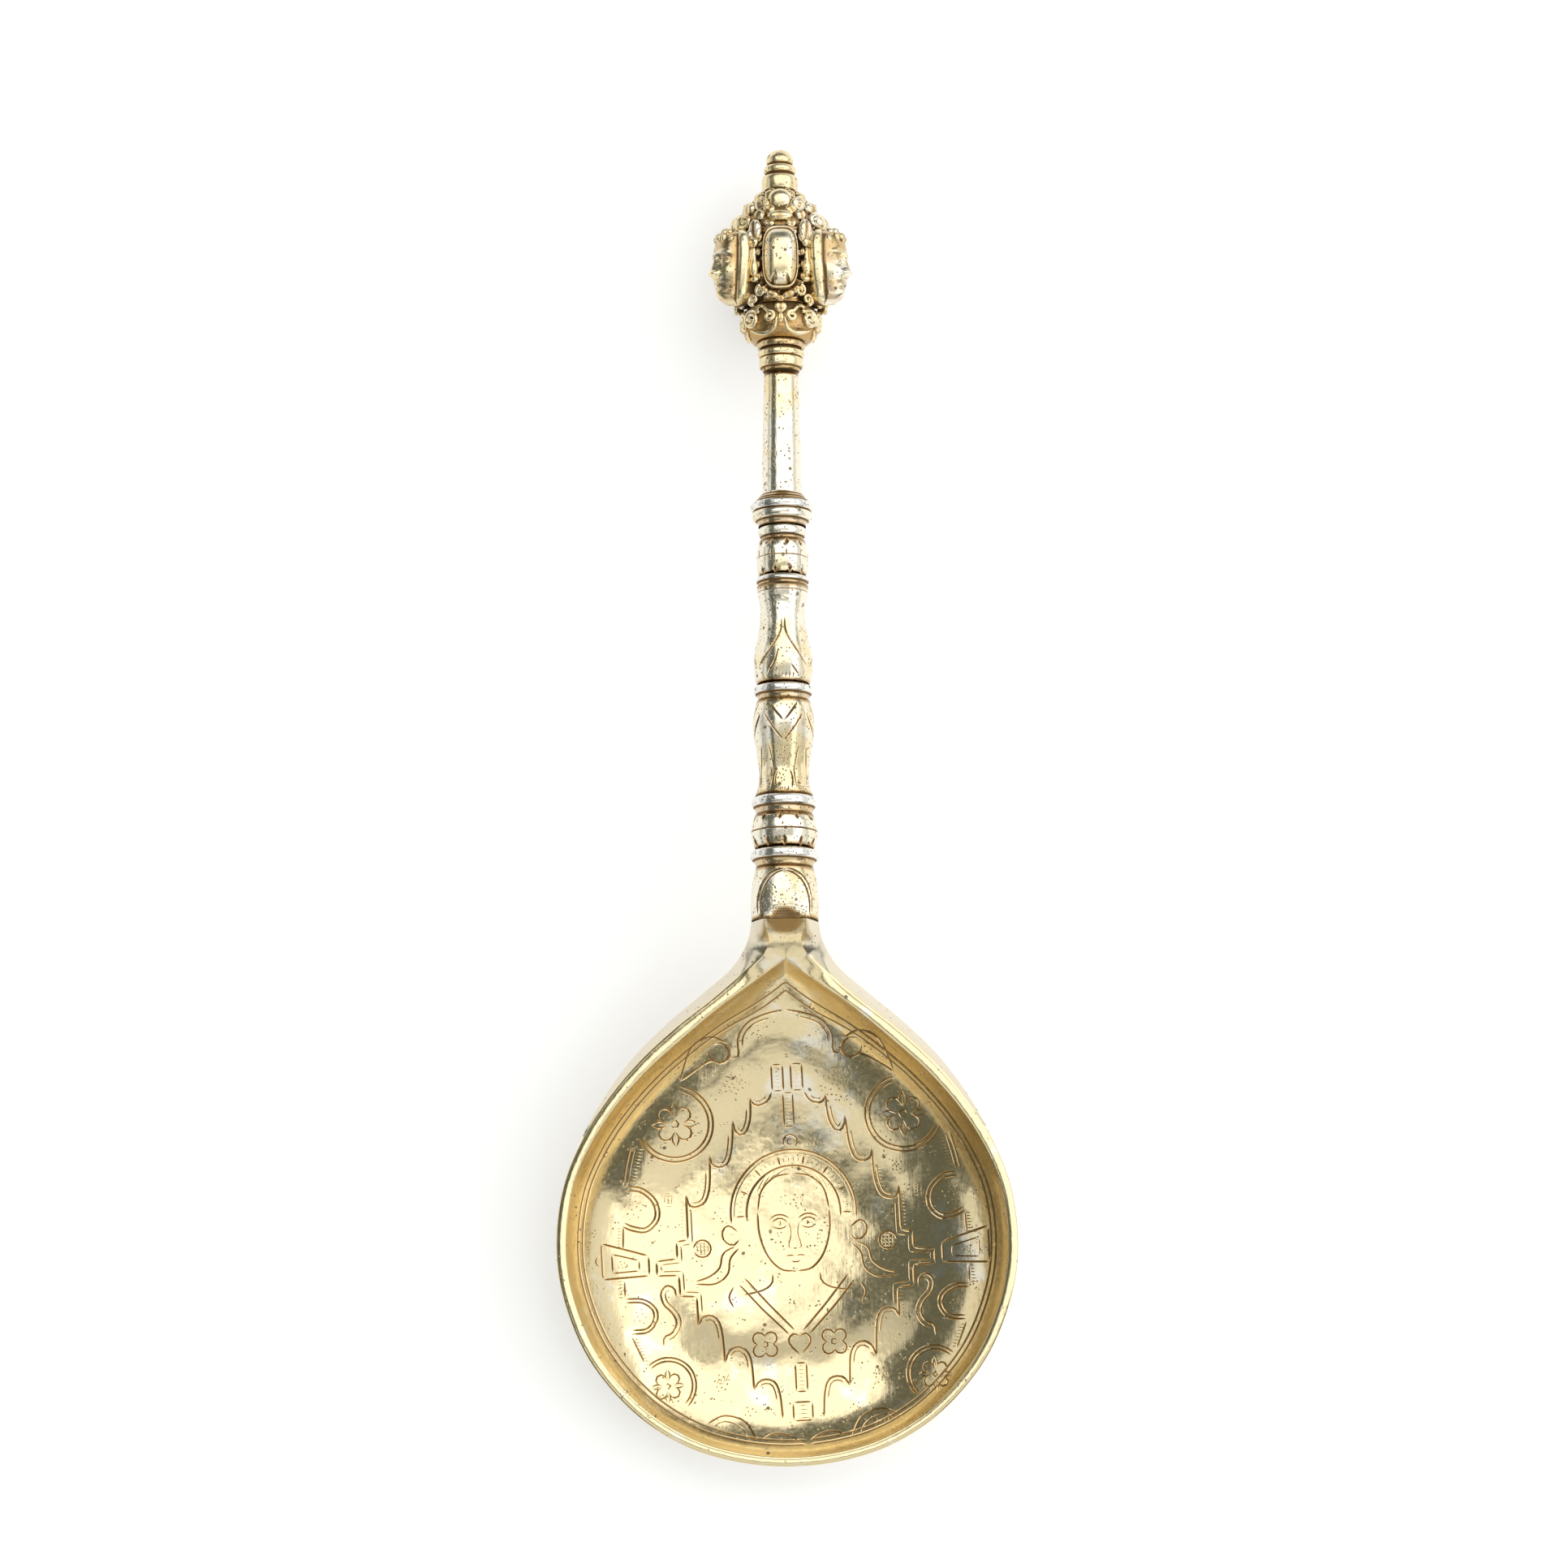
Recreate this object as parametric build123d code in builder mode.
from build123d import *
import os
from math import cos, radians, sin

# Gilt mask spoon: a hammered fig-shaped bowl, a baluster stem with wire collars, a plain round
# shaft and a cast finial of three masks. Every piece is soldered to the next on a short spigot.
#
# Frame: +Y runs from the tip of the bowl to the top of the finial, +Z is up and X is across.
# The spoon lies on a table as it does when it is put down, on the facet worn under the bowl and
# on the back mask. The origin is on the table, under the middle of the spoon.
# All lengths are in millimetres and all angles in degrees.

# ---------------------------------------------------------------- driving dimensions

overall_length = 165.0
bowl_half_width = 28.6
bowl_wall = 1.1

# The handle falls from the neck to the finial, and the rim falls from the neck to the tip.
handle_slope = 8.0
rim_slope = 9.5

# Along Y from the tip of the bowl to its widest line and to the joint of neck and stem.
tip_to_widest = 27.9
tip_to_stem = 67.4

# Height of the rim plane over the widest line, and of the handle axis over the stem joint.
rim_height = 12.2
stem_joint_height = 21.3

# Lengths of the pieces along the handle axis, from the neck to the top.
root_length = 6.6
root_collar_length = 2.3
lower_knop_length = 4.3
lower_collar_length = 2.3
lower_baluster_length = 12.0
middle_collar_length = 2.0
upper_baluster_length = 12.5
upper_collar_length = 1.2
upper_knop_length = 4.6
neck_ring_length = 1.8
flange_length = 4.0
shaft_length = 15.9
capital_length = 3.8
cup_length = 4.3
core_length = 9.4
crown_length = 5.8
top_knop_length = 5.7

# Soldered joints: a spigot on the lower piece enters a socket in the upper one.
spigot_radius = 1.5
spigot_depth = 1.6
joint_gap = 0.02

# Finial ornaments, as radii from the handle axis and sizes of their own.
mask_centre_radius = 6.7
mask_radius = 2.95
mask_half_length = 4.85
nose_reach = 10.2
cartouche_half_width = 2.3
cartouche_half_length = 4.05
cartouche_reach = 7.3
drop_radius = 0.75
drop_half_length = 3.4
drop_orbit = 6.1
drop_angle = 31.0
side_mask_angle = 60.0

# ---------------------------------------------------------------- planes and axes

tip_y = -overall_length / 2
handle_cos = cos(radians(handle_slope))
handle_sin = sin(radians(handle_slope))
rim_cos = cos(radians(rim_slope))
rim_sin = sin(radians(rim_slope))

rim_plane = Plane(
    origin=(0, tip_y + tip_to_widest, rim_height),
    x_dir=(1, 0, 0),
    z_dir=(0, -rim_sin, rim_cos),
)
# In the handle plane x is the radius and y the distance along the axis from the stem joint.
handle_plane = Plane(
    origin=(0, tip_y + tip_to_stem, stem_joint_height),
    x_dir=(1, 0, 0),
    z_dir=(0, handle_sin, handle_cos),
)
handle_axis = Axis(handle_plane.origin, handle_plane.y_dir)
table = Plane.XY

# Distances along the handle axis at which the pieces start.
root_start = 0.0
root_collar_start = root_start + root_length
lower_knop_start = root_collar_start + root_collar_length
lower_collar_start = lower_knop_start + lower_knop_length
lower_baluster_start = lower_collar_start + lower_collar_length
middle_collar_start = lower_baluster_start + lower_baluster_length
upper_baluster_start = middle_collar_start + middle_collar_length
upper_collar_start = upper_baluster_start + upper_baluster_length
upper_knop_start = upper_collar_start + upper_collar_length
neck_ring_start = upper_knop_start + upper_knop_length
flange_start = neck_ring_start + neck_ring_length
shaft_start = flange_start + flange_length
capital_start = shaft_start + shaft_length
cup_start = capital_start + capital_length
core_start = cup_start + cup_length
crown_start = core_start + core_length
top_knop_start = crown_start + crown_length
mask_station = core_start + 4.6
cartouche_station = core_start + 5.2


def handle_frame(radius, station, angle):
    """Plane whose normal points out of the handle axis, turned by angle from straight up."""
    turn = radians(angle)
    outward = handle_plane.x_dir * sin(turn) + handle_plane.z_dir * cos(turn)
    sideways = handle_plane.x_dir * cos(turn) - handle_plane.z_dir * sin(turn)
    foot = handle_plane.from_local_coords((0, station, 0))
    return Plane(origin=foot + outward * radius, x_dir=sideways, z_dir=outward)


# ---------------------------------------------------------------- bowl

# Half of the rim as (half width, distance from the widest line towards the neck), from the tip.
rim_half = [
    (10.6, -25.9),
    (18.6, -21.3),
    (25.0, -13.7),
    (28.3, -4.6),
    (27.95, 5.6),
    (25.0, 13.9),
    (18.6, 23.4),
    (11.9, 29.5),
    (6.2, 33.3),
]
rim_tip = -27.9
rim_neck = 35.4

# The bowl's wall as (depth below the rim plane, scale of the rim), from the rim to the floor.
bowl_wall_curve = [(0.0, 1.0), (3.6, 0.955), (7.0, 0.82), (9.4, 0.62), (10.6, 0.38), (11.1, 0.12)]


def fig_outline(scale, inset, depth):
    """Face with the outline of the bowl, scaled about its middle and moved in by inset."""
    width = (bowl_half_width - inset) / bowl_half_width * scale
    length = scale / rim_cos
    right = [(x * width, y * length) for x, y in rim_half]
    left = [(-x, y) for x, y in reversed(right)]
    tip = (0, (rim_tip + inset) * length)
    neck = (0, (rim_neck - 2 * inset) * length)
    with BuildSketch(rim_plane.offset(-depth)) as outline:
        with BuildLine():
            Spline(tip, *right, neck, *left, periodic=True)
        make_face()
    return outline.sketch


def neck_section(from_tip, half_width, top, bottom):
    """Oval cross-section of the neck, upright, at a distance along Y from the tip of the bowl."""
    middle = (top + bottom) / 2
    upright = Plane(origin=(0, tip_y + from_tip, middle), x_dir=(1, 0, 0), z_dir=(0, 1, 0))
    with BuildSketch(upright) as section:
        Ellipse(half_width, (top - bottom) / 2)
    return section.sketch


neck_radius = 4.1
neck_end = handle_plane.rotated((-90, 0, 0))
facet_height = 3.1
saddle_top = (
    handle_plane.origin.Y + facet_height * handle_sin,
    handle_plane.origin.Z + facet_height * handle_cos,
)
saddle_lid = saddle_top[1] + neck_radius
saddle_middle = (tip_y + 63.7, 19.9)
saddle_foot = (tip_y + 59.2, 17.8)
keel_length = 17.0
keel_half_width = 2.6

# The neck: from the round end that meets the stem down and out into the shoulders.
with BuildSketch(neck_end) as stem_end:
    Circle(neck_radius)
neck_sections = [
    stem_end.sketch,
    neck_section(64.6, 4.6, 21.4, 15.2),
    neck_section(61.4, 6.8, 18.1, 13.1),
    neck_section(57.3, 11.4, 16.5, 11.3),
]
shell_sections = [fig_outline(scale, 0, depth) for depth, scale in bowl_wall_curve]
# The hollow is one wall smaller all round, and its first section stands over the rim.
hollow_curve = [(-bowl_wall, 1.0)] + [(depth - bowl_wall, scale) for depth, scale in bowl_wall_curve[1:]]
hollow_sections = [fig_outline(scale, bowl_wall, depth) for depth, scale in hollow_curve]

with BuildPart() as bowl:
    loft(shell_sections)
    loft(neck_sections)
    loft(hollow_sections, mode=Mode.SUBTRACT)
    # The saddle: a hollow curve from the facet of the stem down to the throat of the bowl.
    with BuildSketch(Plane.YZ):
        with BuildLine():
            ThreePointArc(saddle_top, saddle_middle, saddle_foot)
            lid_foot = (saddle_foot[0], saddle_lid)
            lid_end = (saddle_top[0] + neck_radius, saddle_lid)
            ledge_end = (saddle_top[0] + neck_radius, saddle_top[1])
            Polyline(saddle_foot, lid_foot, lid_end, ledge_end, saddle_top)
        make_face()
    extrude(amount=neck_radius * 2, both=True, mode=Mode.SUBTRACT)
    # Spigot of the neck, and the facet worn under the bowl.
    with BuildSketch(neck_end):
        Circle(spigot_radius)
    extrude(amount=spigot_depth)
    split(bisect_by=table, keep=Keep.TOP)
bowl.part.label = "bowl"


# ---------------------------------------------------------------- keel

# A tapered tongue that lies against the underside of the neck and the back of the bowl.
keel_root_y = tip_y + tip_to_stem - 1.0
keel_tip_y = keel_root_y - keel_length
keel_side_x = keel_half_width * 0.4
keel_side_y = keel_root_y - keel_length * 0.55
keel_back = [(keel_root_y, 15.9), (keel_root_y - 5.5, 11.7), (keel_side_y, 8.9), (keel_tip_y, 6.1)]

with BuildPart() as keel:
    with BuildSketch(table):
        with BuildLine():
            ThreePointArc((keel_half_width, keel_root_y), (keel_side_x, keel_side_y), (0, keel_tip_y))
            ThreePointArc((0, keel_tip_y), (-keel_side_x, keel_side_y), (-keel_half_width, keel_root_y))
            Line((-keel_half_width, keel_root_y), (keel_half_width, keel_root_y))
        make_face()
    extrude(amount=stem_joint_height)
    with BuildSketch(Plane.YZ):
        with BuildLine():
            Spline(*keel_back)
            roof_tip = (keel_tip_y, stem_joint_height)
            roof_root = (keel_root_y, stem_joint_height)
            Polyline(keel_back[-1], roof_tip, roof_root, keel_back[0])
        make_face()
    extrude(amount=keel_half_width, both=True, mode=Mode.INTERSECT)
    add(bowl.part, mode=Mode.SUBTRACT)
# What is left above the bowl is not part of the tongue.
keel_solid = keel.part.solids().sort_by(Axis.Z)[0]
keel_solid.label = "keel"


# ---------------------------------------------------------------- turned pieces

def turned(start, length, side, spigot=spigot_depth, socket=spigot_depth):
    """Solid of revolution about the handle axis, with a socket below and a spigot above.

    The side is a list of runs of (radius, height over the start): two points are a straight
    line, three an arc and more a smooth curve. A side that ends on the axis has no spigot.
    """
    top = start + length
    socket_radius = spigot_radius + joint_gap
    socket_top = start + socket + joint_gap
    with BuildPart() as piece:
        with BuildSketch(handle_plane):
            with BuildLine():
                for run in side:
                    points = [(radius, start + height) for radius, height in run]
                    if len(points) == 2:
                        Line(*points)
                    elif len(points) == 3:
                        ThreePointArc(*points)
                    else:
                        Spline(*points)
                closing = [(socket_radius, socket_top), (socket_radius, start), (side[0][0][0], start)]
                if side[-1][-1][0] > 0:
                    shoulder = (side[-1][-1][0], top)
                    spigot_top = top + spigot
                    Polyline(shoulder, (spigot_radius, top), (spigot_radius, spigot_top), (0, spigot_top))
                    Polyline((0, spigot_top), (0, socket_top), *closing)
                else:
                    Polyline((0, top), (0, socket_top), *closing)
            make_face()
        revolve(axis=handle_axis)
    return piece.part


def wire_collar(start, length, seat_radius, bead_radius):
    """Ring of half-round wire that slides over a spigot between two turned pieces."""
    bore = spigot_radius + joint_gap
    top = start + length
    with BuildPart() as collar:
        with BuildSketch(handle_plane):
            with BuildLine():
                bead = ThreePointArc(
                    (seat_radius, start), (bead_radius, start + length / 2), (seat_radius, top)
                )
                Polyline(bead @ 1, (bore, top), (bore, start), bead @ 0)
            make_face()
        revolve(axis=handle_axis)
    return collar.part


with BuildPart() as stem_root:
    add(
        turned(
            root_start,
            root_length,
            [[(4.1, 0), (4.15, 2.0), (3.95, 4.4), (3.45, root_length)]],
            spigot=root_collar_length + spigot_depth,
        )
    )
    split(bisect_by=handle_frame(facet_height, root_start, 0), keep=Keep.BOTTOM)
stem_root.part.label = "stem_root"

root_collar = wire_collar(root_collar_start, root_collar_length, 3.5, 4.2)
root_collar.label = "root_collar"

lower_knop = turned(
    lower_knop_start,
    lower_knop_length,
    [[(3.55, 0), (4.0, 1.1), (4.12, 2.2), (3.95, 3.3), (3.6, lower_knop_length)]],
    spigot=lower_collar_length + spigot_depth,
)
lower_knop.label = "lower_knop"

lower_collar = wire_collar(lower_collar_start, lower_collar_length, 3.4, 4.0)
lower_collar.label = "lower_collar"

lower_baluster = turned(
    lower_baluster_start,
    lower_baluster_length,
    [[(3.6, 0), (3.15, 2.8), (3.45, 5.2), (3.78, 8.0), (3.6, 10.5), (3.15, lower_baluster_length)]],
    spigot=middle_collar_length + spigot_depth,
)
lower_baluster.label = "lower_baluster"

middle_collar = wire_collar(middle_collar_start, middle_collar_length, 3.0, 3.55)
middle_collar.label = "middle_collar"

upper_baluster = turned(
    upper_baluster_start,
    upper_baluster_length,
    [
        [
            (3.1, 0),
            (3.5, 1.4),
            (3.55, 4.0),
            (2.95, 6.9),
            (2.65, 9.0),
            (2.8, 10.9),
            (3.25, upper_baluster_length),
        ]
    ],
    spigot=upper_collar_length + spigot_depth,
)
upper_baluster.label = "upper_baluster"

upper_collar = wire_collar(upper_collar_start, upper_collar_length, 3.05, 3.3)
upper_collar.label = "upper_collar"

upper_knop = turned(
    upper_knop_start,
    upper_knop_length,
    [[(2.85, 0), (3.2, 1.4), (3.22, 3.1), (2.85, upper_knop_length)]],
)
upper_knop.label = "upper_knop"

neck_ring = turned(
    neck_ring_start,
    neck_ring_length,
    [[(2.65, 0), (2.65, 0.5)], [(2.65, 0.5), (3.0, 1.15), (2.75, neck_ring_length)]],
    spigot=spigot_depth / 2,
)
neck_ring.label = "neck_ring"

stem_flange = turned(
    flange_start,
    flange_length,
    [
        [(3.0, 0), (3.08, 0.55), (3.45, 0.9)],
        [(3.45, 0.9), (3.8, 1.45), (3.55, 2.0)],
        [(3.55, 2.0), (3.95, 2.6), (3.55, 3.2)],
        [(3.55, 3.2), (2.95, 3.45), (2.75, flange_length)],
    ],
    socket=spigot_depth / 2,
)
stem_flange.label = "stem_flange"

shaft = turned(shaft_start, shaft_length, [[(2.5, 0), (2.13, shaft_length)]])
shaft.label = "shaft"

capital = turned(
    capital_start,
    capital_length,
    [
        [(2.3, 0), (2.5, 0.3), (2.4, 0.6)],
        [(2.4, 0.6), (3.0, 1.2), (2.6, 1.8)],
        [(2.6, 1.8), (2.92, 2.2), (2.55, 2.6)],
        [(2.55, 2.6), (2.55, 2.9)],
        [(2.55, 2.9), (3.0, 3.05)],
        [(3.0, 3.05), (3.0, capital_length)],
    ],
)
capital.label = "capital"


# ---------------------------------------------------------------- finial

volute_radius = 0.85
volute_orbit = 4.2
volute_length = 1.0
volute_angles = range(0, 360, 60)

with BuildPart() as scroll_cup:
    add(
        turned(
            cup_start,
            cup_length,
            [[(3.0, 0), (3.9, 0.9), (4.85, 2.3), (4.9, 3.3), (4.4, cup_length)]],
        )
    )
    # Rolled ends of the scrolls, three pairs around the lip of the cup.
    for angle in volute_angles:
        with BuildSketch(handle_frame(volute_orbit, cup_start + 3.0, angle + 30)):
            Circle(volute_radius)
        extrude(amount=volute_length)
scroll_cup.part.label = "scroll_cup"

finial_core = turned(core_start, core_length, [[(4.2, 0), (5.3, 2.5), (5.6, 5.3), (5.5, core_length)]])
finial_core.label = "finial_core"

lobe_radius = 1.0
lobe_rise = 1.1
lobe_taper = 20
lobe_orbit = 5.3
lobe_height = 1.2

with BuildPart() as crown:
    add(
        turned(
            crown_start,
            crown_length,
            [
                [(5.5, 0), (5.9, 0.7), (5.5, 1.5)],
                [(5.5, 1.5), (5.0, 2.6), (4.2, 4.1), (2.7, crown_length)],
            ],
        )
    )
    for angle in volute_angles:
        with BuildSketch(handle_frame(lobe_orbit, crown_start + lobe_height, angle)):
            Circle(lobe_radius)
        extrude(amount=lobe_rise, taper=lobe_taper)
crown.part.label = "crown"

top_knop = turned(
    top_knop_start,
    top_knop_length,
    [
        [(1.9, 0), (2.3, 1.2), (1.85, 2.4)],
        [(1.85, 2.4), (2.05, 3.0), (1.65, 3.6)],
        [(1.65, 3.6), (1.62, 4.5), (1.05, 5.4), (0, top_knop_length)],
    ],
)
top_knop.label = "top_knop"


nose_radius = 1.1
nose_rise = 2.0
nose_taper = 20
mask_cap_radius = 0.9
cartouche_depth = 2.6
cartouche_edge = 0.9


def mask(angle):
    """Head in relief with a plain egg shape and a nose, soldered on the core at an angle."""
    frame = handle_frame(mask_centre_radius, mask_station, angle)
    with BuildPart() as head:
        with BuildSketch(frame):
            with BuildLine():
                cheek = ThreePointArc(
                    (mask_cap_radius, -mask_half_length),
                    (mask_radius, 0),
                    (mask_cap_radius, mask_half_length),
                )
                Polyline(cheek @ 1, (0, mask_half_length), (0, -mask_half_length), cheek @ 0)
            make_face()
        revolve(axis=Axis(frame.origin, frame.y_dir))
        with BuildSketch(handle_frame(nose_reach - nose_rise, mask_station, angle)):
            Circle(nose_radius)
        extrude(amount=nose_rise, taper=nose_taper)
        add(finial_core, mode=Mode.SUBTRACT)
        split(bisect_by=table, keep=Keep.TOP)
    return head.part


def cartouche(angle):
    """Oval boss with a rounded edge, soldered on the core between two masks."""
    frame = handle_frame(cartouche_reach, cartouche_station, angle)
    with BuildPart() as boss:
        with BuildSketch(frame):
            Ellipse(cartouche_half_width, cartouche_half_length)
        extrude(amount=-cartouche_depth)
        outer_face = boss.faces().sort_by(Axis(frame.origin, frame.z_dir))[-1]
        fillet(outer_face.edges(), cartouche_edge)
        add(finial_core, mode=Mode.SUBTRACT)
    return boss.part


left_mask = mask(-side_mask_angle)
left_mask.label = "left_mask"
right_mask = mask(side_mask_angle)
right_mask.label = "right_mask"
back_mask = mask(180)
back_mask.label = "back_mask"

front_cartouche = cartouche(0)
front_cartouche.label = "front_cartouche"
left_cartouche = cartouche(-180 + side_mask_angle)
left_cartouche.label = "left_cartouche"
right_cartouche = cartouche(180 - side_mask_angle)
right_cartouche.label = "right_cartouche"

finial_bosses = [left_mask, right_mask, back_mask, front_cartouche, left_cartouche, right_cartouche]

with BuildPart() as drop_ornaments:
    for cartouche_angle in (0, 120, 240):
        for side in (-1, 1):
            frame = handle_frame(drop_orbit, mask_station, cartouche_angle + side * drop_angle)
            with BuildSketch(frame):
                with BuildLine():
                    tail = (drop_radius * 0.3, -drop_half_length)
                    belly = (drop_radius, drop_half_length * 0.6)
                    head = (drop_radius * 0.4, drop_half_length)
                    Line(tail, belly)
                    ThreePointArc(belly, (drop_radius * 0.85, drop_half_length * 0.9), head)
                    Polyline(head, (0, drop_half_length), (0, -drop_half_length), tail)
                make_face()
            revolve(axis=Axis(frame.origin, frame.y_dir))
    add(finial_core, mode=Mode.SUBTRACT)
    for boss in finial_bosses:
        add(boss, mode=Mode.SUBTRACT)
drop_ornaments.part.label = "drop_ornaments"


# ---------------------------------------------------------------- files

pieces = [
    bowl.part,
    keel_solid,
    stem_root.part,
    root_collar,
    lower_knop,
    lower_collar,
    lower_baluster,
    middle_collar,
    upper_baluster,
    upper_collar,
    upper_knop,
    neck_ring,
    stem_flange,
    shaft,
    capital,
    scroll_cup.part,
    finial_core,
    *finial_bosses,
    drop_ornaments.part,
    crown.part,
    top_knop,
]

os.makedirs("parts", exist_ok=True)
for piece in pieces:
    export_step(piece, f"parts/{piece.label}.step")

whole = Compound(children=pieces).bounding_box()
print(f"box from {whole.min} to {whole.max}")
